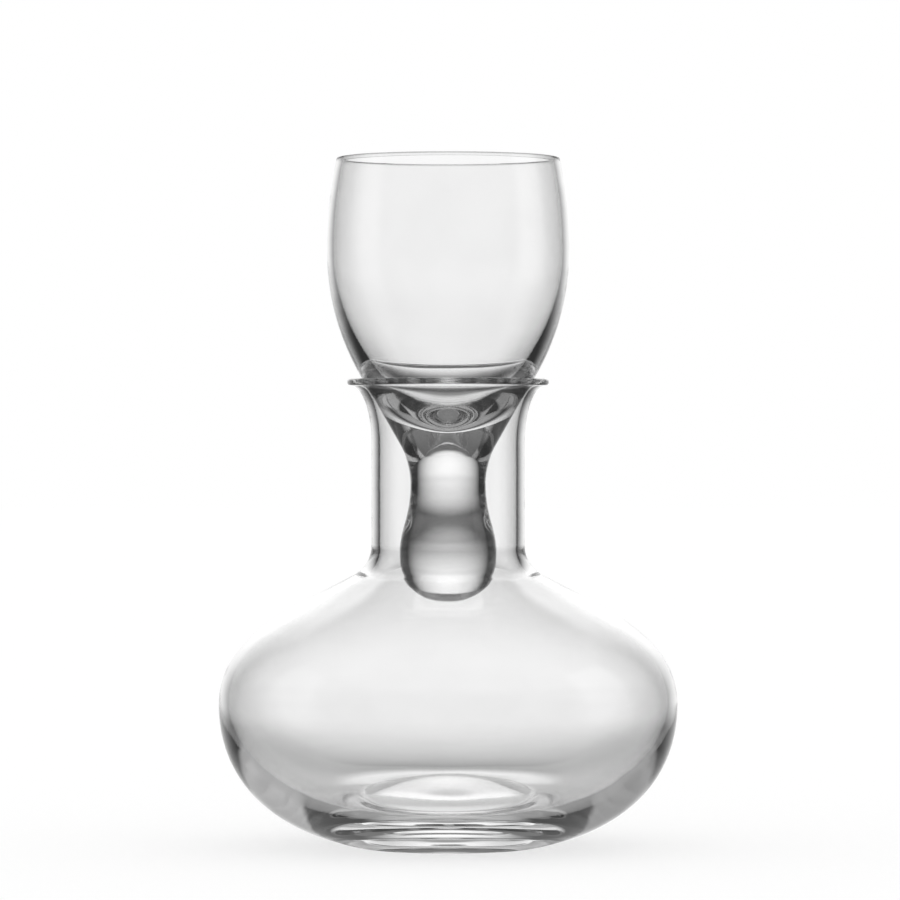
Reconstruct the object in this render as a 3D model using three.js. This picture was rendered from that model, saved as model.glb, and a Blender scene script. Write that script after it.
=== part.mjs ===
// A schnapps carafe with its glass standing in the neck as a stopper.
// Two pieces of clear glass, each round about the z axis. Millimetres, +Z up, the carafe stands on z = 0.

import * as THREE from 'three';

// Carafe, outside
const BODY_RADIUS = 48.7; // widest circle of the body
const BODY_WIDEST_HEIGHT = 30.3; // height of that circle
const SHOULDER_RADIUS = 24.3; // circle where the round body turns into the straight shoulder
const SHOULDER_RISE = 25.2; // height of that circle above the widest one
const SHOULDER_SLOPE = 27.2; // degrees from level
const SHOULDER_FILLET = 7.2; // outside radius between shoulder and neck
const NECK_RADIUS = 16.3;
const CARAFE_HEIGHT = 99.3; // top of the lip
const FLARE_WIDTH = 4.45; // how far the mouth opens beyond the neck
const FLARE_HEIGHT = 12.3;
const LIP_THICKNESS = 1.4;

// Carafe, base and walls
const RING_RADIUS = 18.9; // outer edge of the flat ring that the carafe stands on
const RING_WIDTH = 1.3;
const KICK_HEIGHT = 2; // hollow under the base, inside the ring
const HEEL_ANGLE = 10; // degrees from level at which the body leaves the ring
const BASE_THICKNESS = 7; // glass under the lowest part of the inner floor
const FLOOR_RADIUS = 23.5; // circle inside which the inner floor rises to a low dome
const FLOOR_RISE = 3.2;
const BODY_WALL = 2.05; // at the widest circle
const NECK_WALL = 1.75;
const INNER_SLOPE = 28; // degrees from level inside the shoulder
const INNER_FILLET = 7.5; // inside radius between shoulder and neck

// How full the body's curves are: 0.55 is an ellipse, more is squarer
const HEEL_FULLNESS = 0.55;
const BELLY_FULLNESS = 0.59;
const CROWN_FULLNESS = 0.535;
const SHOULDER_FULLNESS = 0.48;
const INNER_BELLY_FULLNESS = 0.58;
const INNER_HEEL_FULLNESS = 0.42;

// Glass: stem and cone
const SEAT_GAP = 0.3; // clearance between the cone and the mouth that it sits in
const BULB_CLEARANCE = 4.2; // room between the bulb and the bore of the neck
const BULB_END = 10.6; // from the bulb's widest circle down to its end
const BULB_FULLNESS = 0.75; // how square the bulb's end is
const WAIST_DEPTH = 2.35; // how much narrower the waist is than the bulb
const WAIST_RISE = 15.4; // from the bulb's widest circle up to the waist
const WAIST_SHARE = 0.58; // share of that rise that the waist's hollow takes, the bulb's swell takes the rest
const WAIST_ARC = 16.6; // radius between waist and cone
const CONE_HALF_ANGLE = 30; // degrees from the axis
const CONE_ABOVE_SEAT = 3; // height of cone above the circle that it sits on

// Glass: bowl
const BOWL_LOWER_ARC = 53; // outline radius below the widest circle
const BOWL_UPPER_ARC = 96.6; // outline radius above it
const BOWL_UPPER_HEIGHT = 19.9; // from the widest circle up to the rim
const BOWL_WALL = 1.37;
const BOWL_DEPTH = 36.4; // from the widest circle down to the rounded bottom of the inside
const BOWL_SIDE_FULLNESS = 0.55; // share of that depth over which the inside's curve aims straight down
const BOWL_BOTTOM_FULLNESS = 0.35; // share of the inner radius over which it aims level at the bottom

// Fineness of the facets
const FACETS_AROUND = 40;
const CHORD_ERROR = 0.1; // how far a step of an outline may cut inside its curve
const TURN_SAMPLES = 24; // tangents compared to find how far a curve turns

const radians = THREE.MathUtils.degToRad;

// Sizes that follow from those above
const ringInnerRadius = RING_RADIUS - RING_WIDTH;
const shoulderHeight = BODY_WIDEST_HEIGHT + SHOULDER_RISE;
const boreRadius = NECK_RADIUS - NECK_WALL;
const mouth = {
  radius: NECK_RADIUS + FLARE_WIDTH, // where the flare runs out level
  height: CARAFE_HEIGHT - LIP_THICKNESS - FLARE_HEIGHT, // where the flare starts
  innerWidth: FLARE_WIDTH + NECK_WALL,
  innerHeight: FLARE_HEIGHT + LIP_THICKNESS,
};
const coneAngle = radians(CONE_HALF_ANGLE);
const seat = seatCircle();
const bulbRadius = boreRadius - BULB_CLEARANCE;
const waistRadius = bulbRadius - WAIST_DEPTH;

// The circle of the flared mouth that a cone touches: there the mouth's quarter ellipse runs parallel to it.
function seatCircle() {
  const across = mouth.innerWidth * Math.cos(coneAngle);
  const up = mouth.innerHeight * Math.sin(coneAngle);
  const reach = Math.hypot(across, up);
  return {
    radius: mouth.radius - (mouth.innerWidth * across) / reach,
    height: mouth.height + (mouth.innerHeight * up) / reach,
  };
}

// Centre height of a fillet between the neck and the sloping shoulder line that passes through a point.
function filletHeight(pointRadius, pointHeight, neckRadius, fillet, slope) {
  const outwards = (neckRadius + fillet - pointRadius) * Math.sin(slope);
  return pointHeight + (fillet - outwards) / Math.cos(slope);
}

// Section of the carafe from the middle of its underside, up the outside, over the lip and down the inside.
function carafeSection() {
  const slope = radians(SHOULDER_SLOPE);
  const heel = radians(HEEL_ANGLE);
  const path = new THREE.Path();

  path.moveTo(0, KICK_HEIGHT);
  path.quadraticCurveTo(ringInnerRadius / 2, KICK_HEIGHT, ringInnerRadius, 0);
  path.lineTo(RING_RADIUS, 0);

  const heelReach = HEEL_FULLNESS * (BODY_RADIUS - RING_RADIUS);
  path.bezierCurveTo(
    RING_RADIUS + heelReach * Math.cos(heel), heelReach * Math.sin(heel),
    BODY_RADIUS, BODY_WIDEST_HEIGHT * (1 - BELLY_FULLNESS),
    BODY_RADIUS, BODY_WIDEST_HEIGHT,
  );
  const shoulderReach = SHOULDER_FULLNESS * (BODY_RADIUS - SHOULDER_RADIUS);
  path.bezierCurveTo(
    BODY_RADIUS, BODY_WIDEST_HEIGHT + CROWN_FULLNESS * SHOULDER_RISE,
    SHOULDER_RADIUS + shoulderReach * Math.cos(slope), shoulderHeight - shoulderReach * Math.sin(slope),
    SHOULDER_RADIUS, shoulderHeight,
  );
  const filletUp = filletHeight(SHOULDER_RADIUS, shoulderHeight, NECK_RADIUS, SHOULDER_FILLET, slope);
  path.absarc(NECK_RADIUS + SHOULDER_FILLET, filletUp, SHOULDER_FILLET, 1.5 * Math.PI - slope, Math.PI, true);
  path.absellipse(mouth.radius, mouth.height, FLARE_WIDTH, FLARE_HEIGHT, Math.PI, Math.PI / 2, true, 0);
  const lipHeight = CARAFE_HEIGHT - LIP_THICKNESS / 2;
  path.absarc(mouth.radius, lipHeight, LIP_THICKNESS / 2, -Math.PI / 2, Math.PI / 2, false);

  const { innerWidth, innerHeight } = mouth;
  path.absellipse(mouth.radius, mouth.height, innerWidth, innerHeight, Math.PI / 2, Math.PI, false, 0);
  const innerShoulderRadius = SHOULDER_RADIUS - BODY_WALL * Math.sin(slope);
  const innerShoulderHeight = shoulderHeight - BODY_WALL * Math.cos(slope);
  const innerSlope = radians(INNER_SLOPE);
  const innerUp =
    filletHeight(innerShoulderRadius, innerShoulderHeight, boreRadius, INNER_FILLET, innerSlope);
  path.absarc(boreRadius + INNER_FILLET, innerUp, INNER_FILLET, Math.PI, 1.5 * Math.PI - innerSlope, false);
  path.lineTo(innerShoulderRadius, innerShoulderHeight);

  const innerRadius = BODY_RADIUS - BODY_WALL;
  const innerReach = SHOULDER_FULLNESS * (innerRadius - innerShoulderRadius);
  path.bezierCurveTo(
    innerShoulderRadius + innerReach * Math.cos(innerSlope),
    innerShoulderHeight - innerReach * Math.sin(innerSlope),
    innerRadius, BODY_WIDEST_HEIGHT + CROWN_FULLNESS * (innerShoulderHeight - BODY_WIDEST_HEIGHT),
    innerRadius, BODY_WIDEST_HEIGHT,
  );
  path.bezierCurveTo(
    innerRadius, BODY_WIDEST_HEIGHT - INNER_BELLY_FULLNESS * (BODY_WIDEST_HEIGHT - BASE_THICKNESS),
    FLOOR_RADIUS + INNER_HEEL_FULLNESS * (innerRadius - FLOOR_RADIUS), BASE_THICKNESS,
    FLOOR_RADIUS, BASE_THICKNESS,
  );
  const floorTop = BASE_THICKNESS + FLOOR_RISE;
  path.bezierCurveTo(FLOOR_RADIUS / 2, BASE_THICKNESS, FLOOR_RADIUS / 2, floorTop, 0, floorTop);
  return path;
}

// Section of the glass from the end of its stem, up the outside, over the rim and down its inside.
// Heights here start from the end of the stem. It also tells the height at which the cone has a radius.
function glassSection() {
  const path = new THREE.Path();
  path.moveTo(0, 0);
  const bulbHandle = (1 - BULB_FULLNESS) * BULB_END;
  path.bezierCurveTo(BULB_FULLNESS * bulbRadius, 0, bulbRadius, bulbHandle, bulbRadius, BULB_END);

  // Bulb to waist: a swelling arc that turns over into a hollow one
  const bothArcs = (WAIST_RISE ** 2 + WAIST_DEPTH ** 2) / (2 * WAIST_DEPTH);
  const swellTurn = Math.asin(WAIST_RISE / bothArcs);
  const hollow = WAIST_SHARE * bothArcs;
  const swell = bothArcs - hollow;
  const waistHeight = BULB_END + WAIST_RISE;
  path.absarc(bulbRadius - swell, BULB_END, swell, 0, swellTurn, false);
  path.absarc(waistRadius + hollow, waistHeight, hollow, Math.PI + swellTurn, Math.PI, true);

  // Waist to cone, and the cone itself
  const coneFoot = waistRadius + WAIST_ARC * (1 - Math.cos(coneAngle));
  const coneFootHeight = waistHeight + WAIST_ARC * Math.sin(coneAngle);
  path.absarc(waistRadius + WAIST_ARC, waistHeight, WAIST_ARC, Math.PI, Math.PI - coneAngle, true);
  const coneHeightAt = (radius) => coneFootHeight + (radius - coneFoot) / Math.tan(coneAngle);
  const coneTop = seat.radius + CONE_ABOVE_SEAT * Math.tan(coneAngle);

  // Bowl outside: an arc that leaves the cone along it, and a flatter arc from the widest circle to the rim
  const lowerCentre = coneTop - BOWL_LOWER_ARC * Math.cos(coneAngle);
  const bowlRadius = lowerCentre + BOWL_LOWER_ARC;
  const widestHeight = coneHeightAt(coneTop) + BOWL_LOWER_ARC * Math.sin(coneAngle);
  path.absarc(lowerCentre, widestHeight, BOWL_LOWER_ARC, -coneAngle, 0, false);
  const rimRound = BOWL_WALL / 2;
  const rimTurn = Math.asin((BOWL_UPPER_HEIGHT - rimRound) / BOWL_UPPER_ARC);
  const upperCentre = bowlRadius - BOWL_UPPER_ARC;
  path.absarc(upperCentre, widestHeight, BOWL_UPPER_ARC, 0, rimTurn, false);

  // Rim, rounded over the wall, then the inside down to its rounded bottom deep in the cone
  const rimMiddle = BOWL_UPPER_ARC - rimRound;
  const rimRadius = upperCentre + rimMiddle * Math.cos(rimTurn);
  const rimHeight = widestHeight + rimMiddle * Math.sin(rimTurn);
  path.absarc(rimRadius, rimHeight, rimRound, rimTurn, rimTurn + Math.PI, false);
  path.absarc(upperCentre, widestHeight, BOWL_UPPER_ARC - BOWL_WALL, rimTurn, 0, true);

  const innerRadius = bowlRadius - BOWL_WALL;
  const bottomHeight = widestHeight - BOWL_DEPTH;
  path.bezierCurveTo(
    innerRadius, widestHeight - BOWL_SIDE_FULLNESS * BOWL_DEPTH,
    BOWL_BOTTOM_FULLNESS * innerRadius, bottomHeight,
    0, bottomHeight,
  );
  return { path, coneHeightAt };
}

// Points along an outline: one step for a straight line, and as many on a curve as its mean radius asks for.
function outlinePoints(path) {
  const points = [path.curves[0].getPoint(0)];
  for (const curve of path.curves) {
    const steps = curve.isLineCurve ? 1 : stepsOn(curve);
    for (let step = 1; step <= steps; step++) {
      points.push(curve.getPoint(step / steps));
    }
  }
  points[0].x = 0;
  points[points.length - 1].x = 0;
  return points;
}

// Steps that keep the chords of a curve within the chord error.
function stepsOn(curve) {
  let turn = 0;
  for (let sample = 0; sample < TURN_SAMPLES; sample++) {
    const before = curve.getTangent(sample / TURN_SAMPLES);
    const after = curve.getTangent((sample + 1) / TURN_SAMPLES);
    turn += before.angleTo(after);
  }
  const meanRadius = curve.getLength() / turn;
  const turnPerStep = 2 * Math.acos(1 - CHORD_ERROR / Math.max(meanRadius, 2 * CHORD_ERROR));
  return Math.max(2, Math.ceil(turn / turnPerStep));
}

// A piece of glass turned from its section, with its axis along z.
function turnedGlass(name, path) {
  const geometry = new THREE.LatheGeometry(outlinePoints(path), FACETS_AROUND);
  geometry.rotateX(Math.PI / 2);
  const clearGlass = new THREE.MeshStandardMaterial({
    color: 0xf2f5f4,
    roughness: 0.03,
    metalness: 0,
    transparent: true,
    opacity: 0.35,
  });
  const mesh = new THREE.Mesh(geometry, clearGlass);
  mesh.name = name;
  return mesh;
}

const carafe = turnedGlass('carafe', carafeSection());

// The glass stands in the mouth: its cone is held clear of the seat circle by the gap, square to the cone.
const { path: glassPath, coneHeightAt } = glassSection();
const glass = turnedGlass('glass', glassPath);
const touchRadius = seat.radius - SEAT_GAP * Math.cos(coneAngle);
const touchHeight = seat.height + SEAT_GAP * Math.sin(coneAngle);
glass.position.z = touchHeight - coneHeightAt(touchRadius);

const carafeWithGlass = new THREE.Group();
carafeWithGlass.add(carafe, glass);

export default carafeWithGlass;
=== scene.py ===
# A clear glass schnapps carafe, closed by the schnapps glass that stands in its neck.
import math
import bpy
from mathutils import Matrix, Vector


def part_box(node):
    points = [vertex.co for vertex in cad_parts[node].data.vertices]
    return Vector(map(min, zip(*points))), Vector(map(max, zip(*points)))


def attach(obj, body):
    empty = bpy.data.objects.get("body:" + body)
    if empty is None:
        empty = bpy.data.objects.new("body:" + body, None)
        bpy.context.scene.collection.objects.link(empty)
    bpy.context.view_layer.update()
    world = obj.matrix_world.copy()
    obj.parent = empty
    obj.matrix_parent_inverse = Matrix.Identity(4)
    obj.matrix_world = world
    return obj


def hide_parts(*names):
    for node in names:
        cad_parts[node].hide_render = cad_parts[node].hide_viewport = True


bl_info = {
    "name": "Schnapps Carafe",
    "version": (1, 0, 0),
    "blender": (4, 5, 0),
    "location": "3D View > Sidebar > Carafe",
    "description": "Makes a glass carafe and the schnapps glass that closes it, on a white studio floor",
    "category": "Add Mesh",
}

import bmesh
import bpy
from bpy.props import FloatProperty, FloatVectorProperty, PointerProperty
from mathutils import Vector
from mathutils.geometry import interpolate_bezier

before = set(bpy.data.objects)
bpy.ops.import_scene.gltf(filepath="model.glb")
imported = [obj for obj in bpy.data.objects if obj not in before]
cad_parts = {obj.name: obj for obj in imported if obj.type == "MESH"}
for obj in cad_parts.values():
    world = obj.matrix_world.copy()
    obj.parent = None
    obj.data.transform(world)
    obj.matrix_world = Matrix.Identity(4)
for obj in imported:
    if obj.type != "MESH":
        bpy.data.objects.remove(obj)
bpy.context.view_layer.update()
CARAFE_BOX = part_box("carafe")
GLASS_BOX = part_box("glass")

MM = 0.001

# Fineness of the turned surfaces
SEGMENTS = 200
OUTLINE_STEP = 0.8 * MM
LEAST_STEPS = 12
TURN_STEP = math.radians(7)
SAME_POINT = 0.001 * MM
WELD_DISTANCE = 0.0005 * MM
HANDLE_LIFT = 4 / 3  # a curve rises to three quarters of the height of its two handles

# The glass and its unevenness. Each ramp has its start, its end and the values there
GLASS_IOR = 1.52
WAVES_PER_METRE = (60, 60, 220)
WAVE_HEIGHT = 0.1 * MM
WAVE_STRENGTH = 0.3
WAVE_DETAIL = 1.0
MARKS_PER_METRE = 90
MARK_DETAIL = 4.0
MARK_TINT = (0.4, 0.7, 1.0, 0.985)
MARK_ROUGHNESS = (0.5, 0.8, 0.0, 0.02)

# Camera and render paths
SENSOR_WIDTH = 36
LIGHT_BOUNCES = 40
FLOOR_DROP = 0.05 * MM

# Rays through a hollow part pass at most this many glass surfaces
HOLLOW_PASSES = 4

# The studio in level directions. Edges are given by how much of the direction lies along x or y
BACKDROP_WHITE = 1.03
BACKDROP_FALL = 2.2
BACKDROP_HALF = (-0.1, 0.1)
SIDE_LIGHT_EDGE = (0.36, 0.2)
LEFT_TO_RIGHT = (-0.1, 0.1)
HOLLOW_SURROUND_EDGE = (0.4, 0.95)
SOLID_SURROUND_EDGE = (0.955, 0.985)

# The studio above the floor. Heights are sines of the angle above level
CEILING_BLUR = 0.04
LIFT_RAMP = (0.05, 0.2, 1.0, 1.2)

# Painted pools of light and painted shade on the floor, by the distance from the carafe's axis, in metres
POOL_EDGE = (0.13, 0.07)
TONGUE_EDGE = (0.24, 0.14)
FOOT_SHADE_RAMP = (0.015, 0.03, 0.55, 1.0)
WIDE_POOL_EDGE = (0.03, 0.2)
WIDE_POOL_SHARES = (0.9, 1.2)
# Painted shade round the carafe on the floor seen beyond the glass: half bright near the axis, white from
# 20 cm
NEAR_SHADE_RAMP = (0.05, 0.2, 0.5, 1.0)

# The floor by how steeply it is seen, painted white when seen steeply and a real mirror when grazed: 1 is
# grazing, 0 is straight down
POLISH_EDGE = (0.6, 1.0)
STEEP_EDGE = (0.74, 0.45)
VERY_STEEP_EDGE = (0.55, 0.4)


def length(name, description, default):
    """A size in metres, shown with the scene's length unit."""
    return FloatProperty(name=name, description=description, default=default, unit="LENGTH", precision=5)


def share(name, description, default):
    """A number without a unit."""
    return FloatProperty(name=name, description=description, default=default, min=0.0, max=4.0, precision=4)


def angle(name, description, degrees):
    """An angle, written here in degrees."""
    return FloatProperty(name=name, description=description, default=math.radians(degrees), subtype="ANGLE")


def colour(name, description, default):
    """A linear colour."""
    return FloatVectorProperty(
        name=name, description=description, default=default, subtype="COLOR", min=0, max=1
    )


class CarafeSizes(bpy.types.PropertyGroup):
    """Sizes of the carafe, from its base to its lip."""

    body_radius: length("Body radius", "Widest radius of the body", CARAFE_BOX[1][0])
    widest_height: length("Widest height", "Height of the widest circle of the body", 30.3 * MM)
    shoulder_radius: length("Shoulder radius", "Radius where the shoulder turns to the neck", 24.3 * MM)
    shoulder_rise: length("Shoulder rise", "Height of that circle above the widest one", 25.2 * MM)
    shoulder_slope: angle("Shoulder slope", "Slope of the shoulder there, from level", 27.2)
    shoulder_fillet: length("Shoulder fillet", "Radius of the hollow between shoulder and neck", 7.2 * MM)
    neck_radius: length("Neck radius", "Outside radius of the neck", 16.3 * MM)
    height: length("Height", "Height of the lip", CARAFE_BOX[1][2])
    flare_width: length("Flare width", "How far the mouth flares beyond the neck", 4.45 * MM)
    flare_height: length("Flare height", "Height over which the mouth flares", 12.3 * MM)
    lip_thickness: length("Lip thickness", "Thickness of the rounded lip", 1.4 * MM)
    ring_radius: length("Ring radius", "Outside radius of the ring that the carafe stands on", 18.9 * MM)
    ring_width: length("Ring width", "Width of that ring", 1.3 * MM)
    kick_height: length("Kick height", "Height of the hollow under the base", 2 * MM)
    heel_angle: angle("Heel angle", "Slope of the body where it leaves the ring", 10)
    base_thickness: length("Base thickness", "Height of the inner floor's edge", 7 * MM)
    floor_radius: length("Floor radius", "Radius of the dome that the inner floor rises to", 23.5 * MM)
    floor_rise: length("Floor rise", "Height of that dome", 3.2 * MM)
    body_wall: length("Body wall", "Thickness of the body's wall", 2.05 * MM)
    neck_wall: length("Neck wall", "Thickness of the neck's wall", 1.75 * MM)
    inner_slope: angle("Inner slope", "Slope of the shoulder's inside, from level", 28)
    inner_fillet: length("Inner fillet", "Inside radius between shoulder and neck", 7.5 * MM)
    heel_fullness: share("Heel fullness", "How far the curve runs along the heel", 0.55)
    belly_fullness: share("Belly fullness", "How far the curve runs below the widest circle", 0.59)
    crown_fullness: share("Crown fullness", "How far the curve runs above the widest circle", 0.535)
    shoulder_fullness: share("Shoulder fullness", "How far the curve runs along the shoulder", 0.48)
    inner_belly_fullness: share("Inner belly", "How far the inside runs below the widest circle", 0.58)
    inner_heel_fullness: share("Inner heel", "How far the inside runs along the floor", 0.42)


class GlassSizes(bpy.types.PropertyGroup):
    """Sizes of the schnapps glass, from the end of its stem to its rim."""

    bulb_radius: length("Bulb radius", "Radius of the bulb that ends the stem", 10.35 * MM)
    bulb_end: length("Bulb end", "Height of the bulb's widest circle above its end", 10.6 * MM)
    bulb_fullness: share("Bulb fullness", "How square the bulb's end is", 0.75)
    waist_depth: length("Waist depth", "How much slimmer the waist is than the bulb", 2.35 * MM)
    waist_rise: length("Waist rise", "Height of the waist above the bulb's widest circle", 15.4 * MM)
    waist_share: share("Waist share", "Share of that height that the waist's hollow takes", 0.58)
    waist_arc: length("Waist arc", "Radius of the hollow from the waist to the cone", 16.6 * MM)
    cone_half_angle: angle("Cone half angle", "Half the angle of the solid cone", 30)
    cone_top: length("Cone top", "Radius where the cone turns to the bowl", 18.66 * MM)
    lower_arc: length("Lower arc", "Radius of the bowl's lower curve", 53 * MM)
    upper_arc: length("Upper arc", "Radius of the bowl's upper curve", 96.6 * MM)
    upper_height: length("Upper height", "Height of the bowl above its widest circle", 19.9 * MM)
    wall: length("Wall", "Thickness of the bowl's wall", 1.37 * MM)
    rim_height: length("Rim height", "Height of the rim's flat rounding", 0.3 * MM)
    depth: length("Depth", "Depth of the bowl's rounded bottom below its widest circle", 36.4 * MM)
    side_fullness: share("Side fullness", "Share of the depth over which the inside aims down", 0.55)
    bottom_fullness: share("Bottom fullness", "Share of the radius over which the bottom aims level", 0.35)


class StageSettings(bpy.types.PropertyGroup):
    """Camera, floor and light."""

    camera_distance: length("Camera distance", "Camera to the carafe's axis", 1.02)
    camera_height: length("Camera height", "Height of the level camera", 84.2 * MM)
    camera_side: length("Camera side", "Camera's place to the right of the axis", 0.4 * MM)
    lens: FloatProperty(
        name="Lens", description="Focal length on a 36 mm sensor", default=192, unit="CAMERA"
    )
    floor_size: length("Floor size", "Width of the square floor", 12)
    floor_colour: colour("Floor colour", "Colour of the pale floor", (0.8, 0.8, 0.8))
    floor_glow: FloatVectorProperty(
        name="Floor glow",
        description="Colour that lifts the floor to white",
        default=(1.14, 1.14, 1.14),
        max=4,
    )
    floor_share: share("Floor share", "Share of that colour in what the camera sees of the floor", 0.6)
    surround_colour: colour("Surround", "White that shows straight through the glass", (0.9, 0.9, 0.9))
    near_light: share("Near light", "Brightness of the floor round the carafe, as the glass shows it", 0.38)
    room_light: share("Room light", "Brightness of the dim room around the backdrop", 0.03)
    left_light: share("Left light", "Brightness of the soft light at the left", 0.3)
    right_light: share("Right light", "Brightness of the soft light at the right", 0.45)
    ceiling_light: share("Ceiling light", "Brightness of the ceiling above the backdrop", 0.15)
    backdrop_top: angle("Backdrop top", "Height of the backdrop's upper edge", 41)


class Outline:
    """Half of a turned piece's section, as radii and heights joined by lines, curves and arcs."""

    def __init__(self, radius, height):
        self.points = [Vector((radius, 0, height))]

    def line(self, radius, height):
        self.points.append(Vector((radius, 0, height)))

    def curve(self, first_handle, second_handle, end):
        corners = [self.points[-1]]
        corners += [Vector((radius, 0, height)) for radius, height in (first_handle, second_handle, end)]
        reach = sum((b - a).length for a, b in zip(corners, corners[1:]))
        steps = max(math.ceil(reach / OUTLINE_STEP), LEAST_STEPS)
        self.points += interpolate_bezier(*corners, steps + 1)[1:]

    def arc(self, centre, radii, start, end):
        turn = end - start
        steps = math.ceil(max(abs(turn) * max(radii) / OUTLINE_STEP, abs(turn) / TURN_STEP))
        for step in range(steps + 1):
            at = start + turn * step / steps
            place = Vector((centre[0] + radii[0] * math.cos(at), 0, centre[1] + radii[1] * math.sin(at)))
            if (place - self.points[-1]).length > SAME_POINT:
                self.points.append(place)


def turn(name, outline):
    """Spins an outline round the z axis to one closed, smooth piece."""
    bm = bmesh.new()
    corners = [bm.verts.new(point) for point in outline.points]
    edges = [bm.edges.new(pair) for pair in zip(corners, corners[1:])]
    bmesh.ops.spin(
        bm,
        geom=corners + edges,
        cent=(0, 0, 0),
        axis=(0, 0, 1),
        angle=math.tau,
        steps=SEGMENTS,
        use_merge=True,
    )
    bmesh.ops.remove_doubles(bm, verts=bm.verts, dist=WELD_DISTANCE)
    bmesh.ops.recalc_face_normals(bm, faces=bm.faces)
    for face in bm.faces:
        face.smooth = True
    mesh = bpy.data.meshes.new(name)
    bm.to_mesh(mesh)
    bm.free()
    piece = bpy.data.objects.new(name, mesh)
    bpy.context.collection.objects.link(piece)
    return piece


def fillet_height(radius, height, neck_radius, fillet, slope):
    """Height of the centre of the hollow that leaves the shoulder at its slope and runs up the neck."""
    return height + (fillet - (neck_radius + fillet - radius) * math.sin(slope)) / math.cos(slope)


def carafe_outline(s):
    """Section of the carafe: up its outside from the middle of the base, over the lip, down its inside."""
    quarter = math.pi / 2
    ring_inner = s.ring_radius - s.ring_width
    shoulder_height = s.widest_height + s.shoulder_rise
    slope_cos = math.cos(s.shoulder_slope)
    slope_sin = math.sin(s.shoulder_slope)
    mouth_radius = s.neck_radius + s.flare_width
    mouth_height = s.height - s.lip_thickness - s.flare_height
    bore_radius = s.neck_radius - s.neck_wall
    heel = s.heel_fullness * (s.body_radius - s.ring_radius)
    shoulder = s.shoulder_fullness * (s.body_radius - s.shoulder_radius)

    outline = Outline(0, s.kick_height)
    outline.curve(
        (ring_inner / 3, s.kick_height),
        (ring_inner * 2 / 3, s.kick_height * 2 / 3),
        (ring_inner, 0),
    )
    outline.line(s.ring_radius, 0)
    outline.curve(
        (s.ring_radius + heel * math.cos(s.heel_angle), heel * math.sin(s.heel_angle)),
        (s.body_radius, s.widest_height * (1 - s.belly_fullness)),
        (s.body_radius, s.widest_height),
    )
    outline.curve(
        (s.body_radius, s.widest_height + s.crown_fullness * s.shoulder_rise),
        (s.shoulder_radius + shoulder * slope_cos, shoulder_height - shoulder * slope_sin),
        (s.shoulder_radius, shoulder_height),
    )
    fillet = s.shoulder_fillet
    rise = fillet_height(s.shoulder_radius, shoulder_height, s.neck_radius, fillet, s.shoulder_slope)
    outline.arc((s.neck_radius + fillet, rise), (fillet, fillet), 3 * quarter - s.shoulder_slope, math.pi)
    outline.arc((mouth_radius, mouth_height), (s.flare_width, s.flare_height), math.pi, quarter)
    lip = s.lip_thickness / 2
    outline.arc((mouth_radius, s.height - lip), (lip, lip), -quarter, quarter)

    inner_flare = (s.flare_width + s.neck_wall, s.flare_height + s.lip_thickness)
    outline.arc((mouth_radius, mouth_height), inner_flare, quarter, math.pi)
    inner_radius = s.shoulder_radius - s.body_wall * slope_sin
    inner_height = shoulder_height - s.body_wall * slope_cos
    fillet = s.inner_fillet
    rise = fillet_height(inner_radius, inner_height, bore_radius, fillet, s.inner_slope)
    outline.arc((bore_radius + fillet, rise), (fillet, fillet), math.pi, 3 * quarter - s.inner_slope)
    outline.line(inner_radius, inner_height)
    belly_radius = s.body_radius - s.body_wall
    shoulder = s.shoulder_fullness * (belly_radius - inner_radius)
    inner_cos = math.cos(s.inner_slope)
    inner_sin = math.sin(s.inner_slope)
    outline.curve(
        (inner_radius + shoulder * inner_cos, inner_height - shoulder * inner_sin),
        (belly_radius, s.widest_height + s.crown_fullness * (inner_height - s.widest_height)),
        (belly_radius, s.widest_height),
    )
    outline.curve(
        (belly_radius, s.widest_height - s.inner_belly_fullness * (s.widest_height - s.base_thickness)),
        (s.floor_radius + s.inner_heel_fullness * (belly_radius - s.floor_radius), s.base_thickness),
        (s.floor_radius, s.base_thickness),
    )
    floor_top = s.base_thickness + s.floor_rise
    outline.curve((s.floor_radius / 2, s.base_thickness), (s.floor_radius / 2, floor_top), (0, floor_top))
    return outline


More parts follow.
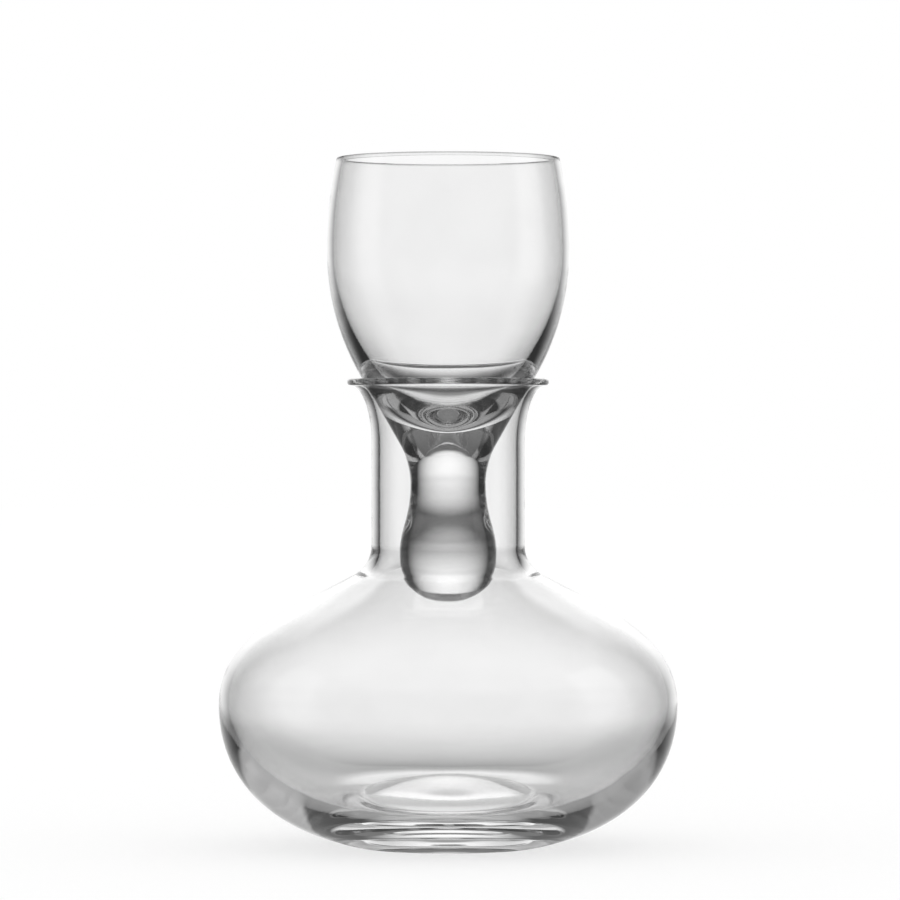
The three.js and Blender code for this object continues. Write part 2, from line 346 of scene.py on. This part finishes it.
def glass_outline(s, end_height):
    """Section of the glass: up its outside from the end of the stem, over the rim, down into the bowl."""
    half = s.cone_half_angle
    outline = Outline(0, end_height)
    bulb_height = end_height + s.bulb_end
    outline.curve(
        (s.bulb_fullness * s.bulb_radius, end_height),
        (s.bulb_radius, end_height + (1 - s.bulb_fullness) * s.bulb_end),
        (s.bulb_radius, bulb_height),
    )
    both_arcs = (s.waist_rise**2 + s.waist_depth**2) / (2 * s.waist_depth)
    swell_turn = math.asin(s.waist_rise / both_arcs)
    hollow = s.waist_share * both_arcs
    swell = both_arcs - hollow
    waist_radius = s.bulb_radius - s.waist_depth
    waist_height = bulb_height + s.waist_rise
    outline.arc((s.bulb_radius - swell, bulb_height), (swell, swell), 0, swell_turn)
    outline.arc((waist_radius + hollow, waist_height), (hollow, hollow), math.pi + swell_turn, math.pi)
    cone_hollow = (waist_radius + s.waist_arc, waist_height)
    outline.arc(cone_hollow, (s.waist_arc, s.waist_arc), math.pi, math.pi - half)

    cone_foot = outline.points[-1]
    cone_top = cone_foot.z + (s.cone_top - cone_foot.x) / math.tan(half)
    outline.line(s.cone_top, cone_top)
    widest_height = cone_top + s.lower_arc * math.sin(half)
    widest_radius = s.cone_top + s.lower_arc * (1 - math.cos(half))
    outline.arc((widest_radius - s.lower_arc, widest_height), (s.lower_arc, s.lower_arc), -half, 0)
    upper_centre = (widest_radius - s.upper_arc, widest_height)
    inner_arc = s.upper_arc - s.wall
    lean = math.asin((s.upper_height - s.rim_height) / s.upper_arc)
    along = Vector((math.cos(lean), 0, math.sin(lean)))
    lift = Vector((-math.sin(lean), 0, math.cos(lean))) * s.rim_height * HANDLE_LIFT
    middle = Vector((upper_centre[0], 0, widest_height))
    outer_edge = middle + along * s.upper_arc
    inner_edge = middle + along * inner_arc
    outline.arc(upper_centre, (s.upper_arc, s.upper_arc), 0, lean)
    rim_points = (outer_edge + lift, inner_edge + lift, inner_edge)
    outline.curve(*((point.x, point.z) for point in rim_points))
    outline.arc(upper_centre, (inner_arc, inner_arc), lean, 0)
    inner_radius = widest_radius - s.wall
    bottom_height = widest_height - s.depth
    outline.curve(
        (inner_radius, widest_height - s.side_fullness * s.depth),
        (s.bottom_fullness * inner_radius, bottom_height),
        (0, bottom_height),
    )
    return outline


class Socket:
    """An output of a node. Sums on it add Math nodes to its tree."""

    def __init__(self, tree, output):
        self.tree = tree
        self.output = output

    def math(self, operation, *values):
        return self.tree.node("ShaderNodeMath", {"operation": operation}, dict(enumerate(values)))

    def __add__(self, other):
        return self.math("ADD", self, other)

    __radd__ = __add__

    def __sub__(self, other):
        return self.math("SUBTRACT", self, other)

    def __rsub__(self, other):
        return self.math("SUBTRACT", other, self)

    def __mul__(self, other):
        return self.math("MULTIPLY", self, other)

    __rmul__ = __mul__

    def __truediv__(self, other):
        return self.math("DIVIDE", self, other)

    def __abs__(self):
        return self.math("ABSOLUTE", self)

    def __pow__(self, other):
        return self.math("POWER", self, other)

    def below(self, other):
        return self.math("LESS_THAN", self, other)

    def most(self, other):
        return self.math("MAXIMUM", self, other)

    def ramp(self, start, end, low=0.0, high=1.0):
        """Smooth step from low at start to high at end."""
        values = {"Value": self, "From Min": start, "From Max": end, "To Min": low, "To Max": high}
        return self.tree.node("ShaderNodeMapRange", {"interpolation_type": "SMOOTHSTEP"}, values)


class Tree:
    """A node tree under construction."""

    def __init__(self, owner):
        owner.use_nodes = True
        self.nodes = owner.node_tree.nodes
        self.links = owner.node_tree.links
        self.nodes.clear()

    def node(self, kind, settings=None, values=None, output=0):
        """Adds a node, sets it up, feeds its inputs and returns one output."""
        node = self.nodes.new(kind)
        for name, value in (settings or {}).items():
            setattr(node, name, value)
        for name, value in (values or {}).items():
            if isinstance(value, Socket):
                self.links.new(value.output, node.inputs[name])
            else:
                node.inputs[name].default_value = value
        return Socket(self, node.outputs[output]) if node.outputs else node

    def parts(self, vector):
        """The three numbers of a vector."""
        first = self.node("ShaderNodeSeparateXYZ", None, {"Vector": vector})
        outputs = first.output.node.outputs
        return [Socket(self, outputs[axis]) for axis in "XYZ"]


def glass_material(name):
    """Clear colourless glass with the faint level waves of a turned surface and a trace of handling."""
    material = bpy.data.materials.new(name)
    tree = Tree(material)
    place = tree.node("ShaderNodeTexCoord", output="Object")
    level = tree.node("ShaderNodeMapping", None, {"Vector": place, "Scale": WAVES_PER_METRE})
    waves = tree.node("ShaderNodeTexNoise", None, {"Vector": level, "Scale": 1.0, "Detail": WAVE_DETAIL})
    marks = tree.node(
        "ShaderNodeTexNoise", None, {"Vector": place, "Scale": MARKS_PER_METRE, "Detail": MARK_DETAIL}
    )
    bump = tree.node(
        "ShaderNodeBump", None, {"Strength": WAVE_STRENGTH, "Distance": WAVE_HEIGHT, "Height": waves}
    )
    surface = tree.node(
        "ShaderNodeBsdfPrincipled",
        None,
        {
            "Base Color": marks.ramp(*MARK_TINT),
            "Roughness": marks.ramp(*MARK_ROUGHNESS),
            "IOR": GLASS_IOR,
            "Transmission Weight": 1.0,
            "Normal": bump,
        },
    )
    tree.node("ShaderNodeOutputMaterial", None, {"Surface": surface})
    return material


class CARAFE_OT_carafe(bpy.types.Operator):
    """Make the carafe"""

    bl_idname = "carafe.make_carafe"
    bl_label = "Carafe"

    def execute(self, context):
        piece = turn("carafe_shell", carafe_outline(context.scene.carafe_sizes))
        piece.data.materials.append(glass_material("carafe_glass"))
        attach(piece, "carafe")
        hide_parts("carafe")
        return {"FINISHED"}


class CARAFE_OT_glass(bpy.types.Operator):
    """Make the schnapps glass in the carafe's mouth"""

    bl_idname = "carafe.make_glass"
    bl_label = "Schnapps glass"

    def execute(self, context):
        outline = glass_outline(context.scene.glass_sizes, GLASS_BOX[0][2])
        piece = turn("stopper_glass", outline)
        piece.data.materials.append(glass_material("stopper_glass"))
        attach(piece, "glass")
        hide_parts("glass")
        return {"FINISHED"}


class LightPath:
    """How a ray has come to the floor or the world: from the camera, or through glass and how often."""

    def __init__(self, tree):
        path = tree.node("ShaderNodeLightPath").output.node.outputs
        self.camera = Socket(tree, path["Is Camera Ray"])
        bent = Socket(tree, path["Is Transmission Ray"]).most(Socket(tree, path["Is Glossy Ray"]))
        self.through_glass = bent * Socket(tree, path["Diffuse Depth"]).below(1)
        self.straight = Socket(tree, path["Glossy Depth"]).below(1)
        self.hollow = self.straight * Socket(tree, path["Transmission Depth"]).below(HOLLOW_PASSES + 1)


def heading(x, y):
    """The sideways and forward share of a level direction, and how far it lies in the backdrop's half."""
    level = (x * x + y * y) ** 0.5
    forward = y / level
    return x / level, forward, forward.ramp(*BACKDROP_HALF)


def surround(path, x, y):
    """Where straight rays meet the white surround: behind and beside, sooner through hollow glass."""
    sideways, _, ahead = heading(x, y)
    behind = 1 - ahead
    beside = abs(sideways).ramp(*HOLLOW_SURROUND_EDGE).most(behind)
    beyond = abs(sideways).ramp(*SOLID_SURROUND_EDGE).most(behind)
    return (path.straight * beyond).most(path.hollow * beside)


def walls(settings, x, y):
    """Brightness of the studio in a level direction: lit backdrop, soft lights at the sides, dim room."""
    sideways, forward, ahead = heading(x, y)
    backdrop = (BACKDROP_WHITE - BACKDROP_FALL * sideways**2) * ahead
    side_light = sideways.ramp(*LEFT_TO_RIGHT, settings.left_light, settings.right_light)
    sides = abs(forward).ramp(*SIDE_LIGHT_EDGE) * side_light
    return backdrop.most(sides).most(settings.room_light)


def glass_floor(settings, tree, path):
    """The floor as the glass shows it, painted: a pool of light with painted shade under the foot, painted
    white when seen steeply, a real mirror when grazed.
    """
    x, y, _ = tree.parts(tree.node("ShaderNodeNewGeometry", output="Position"))
    white = settings.surround_colour[0]
    away = (x * x + y * y) ** 0.5
    facing = tree.node("ShaderNodeLayerWeight", None, {"Blend": 0.5}, "Facing")

    # Through solid glass: a small painted pool of light with a tongue towards the backdrop, and painted
    # shade under the foot
    sideways, _, ahead = heading(x, y)
    tongue = (1 - BACKDROP_FALL * sideways**2) * ahead * away.ramp(*TONGUE_EDGE)
    # Painted shade: the pool is darkened to 0.55 within 1.5 cm of the axis, under the carafe's foot, and is
    # full again at 3 cm
    pool = tongue.most(away.ramp(*POOL_EDGE)) * away.ramp(*FOOT_SHADE_RAMP) * settings.near_light
    # Painted light: through solid glass the floor shows white when seen very steeply
    very_steep = facing.ramp(*VERY_STEEP_EDGE, 0.0, white) * path.straight
    solid = pool.most(settings.room_light).most(very_steep)

    # Through hollow glass: a wide painted pool of light
    # Painted light: through hollow glass the floor brightens to white when seen steeply
    steep = facing.ramp(*STEEP_EDGE, 0.0, white)
    brightness = [settings.near_light * part for part in WIDE_POOL_SHARES]
    hollow = away.ramp(*WIDE_POOL_EDGE, *brightness).most(steep)

    # Emission that carries the painted pools of light and the painted shade under the foot
    painted_pool_and_shade = tree.node("ShaderNodeEmission", None, {"Color": solid * (1 - path.hollow) + hollow * path.hollow})
    mirror = tree.node("ShaderNodeBsdfGlossy", None, {"Color": (1, 1, 1, 1), "Roughness": 0.0})
    polished = tree.node("ShaderNodeMixShader", None, {0: facing.ramp(*POLISH_EDGE), 1: painted_pool_and_shade, 2: mirror})
    # Painted shade: the floor seen straight beyond the glass is darker within 20 cm of the carafe's axis,
    # down to half within 5 cm; painted white when seen steeply
    shaded_white_floor = (away.ramp(*NEAR_SHADE_RAMP) * white).most(steep)
    shaded_pale = tree.node("ShaderNodeEmission", None, {"Color": shaded_white_floor})
    return tree.node("ShaderNodeMixShader", None, {0: surround(path, x, y), 1: polished, 2: shaded_pale})


def floor_material(settings):
    """Pale floor: white with soft shadows to the camera, and painted light and shade where the glass shows
    it.
    """
    material = bpy.data.materials.new("studio_floor")
    tree = Tree(material)
    path = LightPath(tree)
    shade = tree.node("ShaderNodeBsdfDiffuse", None, {"Color": (*settings.floor_colour, 1)})
    glow = tree.node("ShaderNodeEmission", None, {"Color": (*settings.floor_glow, 1)})
    lifted = path.camera * settings.floor_share
    direct = tree.node("ShaderNodeMixShader", None, {0: lifted, 1: shade, 2: glow})
    shown = glass_floor(settings, tree, path)
    mixed = tree.node("ShaderNodeMixShader", None, {0: path.through_glass, 1: direct, 2: shown})
    tree.node("ShaderNodeOutputMaterial", None, {"Surface": mixed})
    return material


def build_world(settings):
    """White to the camera and as light for the floor; in the glass the studio's walls and dim ceiling."""
    world = bpy.data.worlds.new("studio")
    bpy.context.scene.world = world
    tree = Tree(world)
    path = LightPath(tree)
    x, y, z = tree.parts(tree.node("ShaderNodeTexCoord", output="Generated"))
    edge = math.sin(settings.backdrop_top)
    ceiling = z.ramp(edge - CEILING_BLUR, edge + CEILING_BLUR)
    lifted = walls(settings, x, y) * z.ramp(*LIFT_RAMP)
    room = lifted * (1 - ceiling) + settings.ceiling_light * ceiling
    white = surround(path, x, y)
    shown = room * (1 - white) + settings.surround_colour[0] * white
    light = path.camera.most(1 - path.through_glass * (1 - shown))
    background = tree.node("ShaderNodeBackground", None, {"Color": light})
    tree.node("ShaderNodeOutputWorld", None, {"Surface": background})


class CARAFE_OT_stage(bpy.types.Operator):
    """Make the camera, the floor and the studio light"""

    bl_idname = "carafe.make_stage"
    bl_label = "Stage"

    def execute(self, context):
        settings = context.scene.carafe_stage
        scene = context.scene
        camera = bpy.data.cameras.new("camera")
        camera.lens = settings.lens
        camera.sensor_width = SENSOR_WIDTH
        holder = bpy.data.objects.new("camera", camera)
        holder.location = (settings.camera_side, -settings.camera_distance, settings.camera_height)
        holder.rotation_euler = (math.pi / 2, 0, 0)
        scene.collection.objects.link(holder)
        scene.camera = holder

        bm = bmesh.new()
        bmesh.ops.create_grid(bm, x_segments=1, y_segments=1, size=settings.floor_size / 2)
        mesh = bpy.data.meshes.new("floor")
        bm.to_mesh(mesh)
        bm.free()
        floor = bpy.data.objects.new("floor", mesh)
        floor.location.z = -FLOOR_DROP
        scene.collection.objects.link(floor)
        mesh.materials.append(floor_material(settings))

        build_world(settings)
        scene.view_settings.view_transform = "Standard"
        scene.cycles.max_bounces = LIGHT_BOUNCES
        scene.cycles.transmission_bounces = LIGHT_BOUNCES
        scene.cycles.glossy_bounces = LIGHT_BOUNCES
        return {"FINISHED"}


class CARAFE_PT_panel(bpy.types.Panel):
    """Buttons that make the stage and the pieces"""

    bl_idname = "CARAFE_PT_panel"
    bl_label = "Schnapps Carafe"
    bl_space_type = "VIEW_3D"
    bl_region_type = "UI"
    bl_category = "Carafe"

    def draw(self, context):
        for operator in OPERATORS:
            self.layout.operator(operator.bl_idname)


GROUPS = {"carafe_sizes": CarafeSizes, "glass_sizes": GlassSizes, "carafe_stage": StageSettings}
OPERATORS = (CARAFE_OT_stage, CARAFE_OT_carafe, CARAFE_OT_glass)
CLASSES = (*GROUPS.values(), *OPERATORS, CARAFE_PT_panel)


def register():
    for item in CLASSES:
        bpy.utils.register_class(item)
    for name, group in GROUPS.items():
        setattr(bpy.types.Scene, name, PointerProperty(type=group))


def unregister():
    for name in GROUPS:
        delattr(bpy.types.Scene, name)
    for item in reversed(CLASSES):
        bpy.utils.unregister_class(item)


def main():
    register()
    bpy.ops.carafe.make_stage()
    bpy.ops.carafe.make_carafe()
    bpy.ops.carafe.make_glass()


if __name__ == "__main__":
    main()
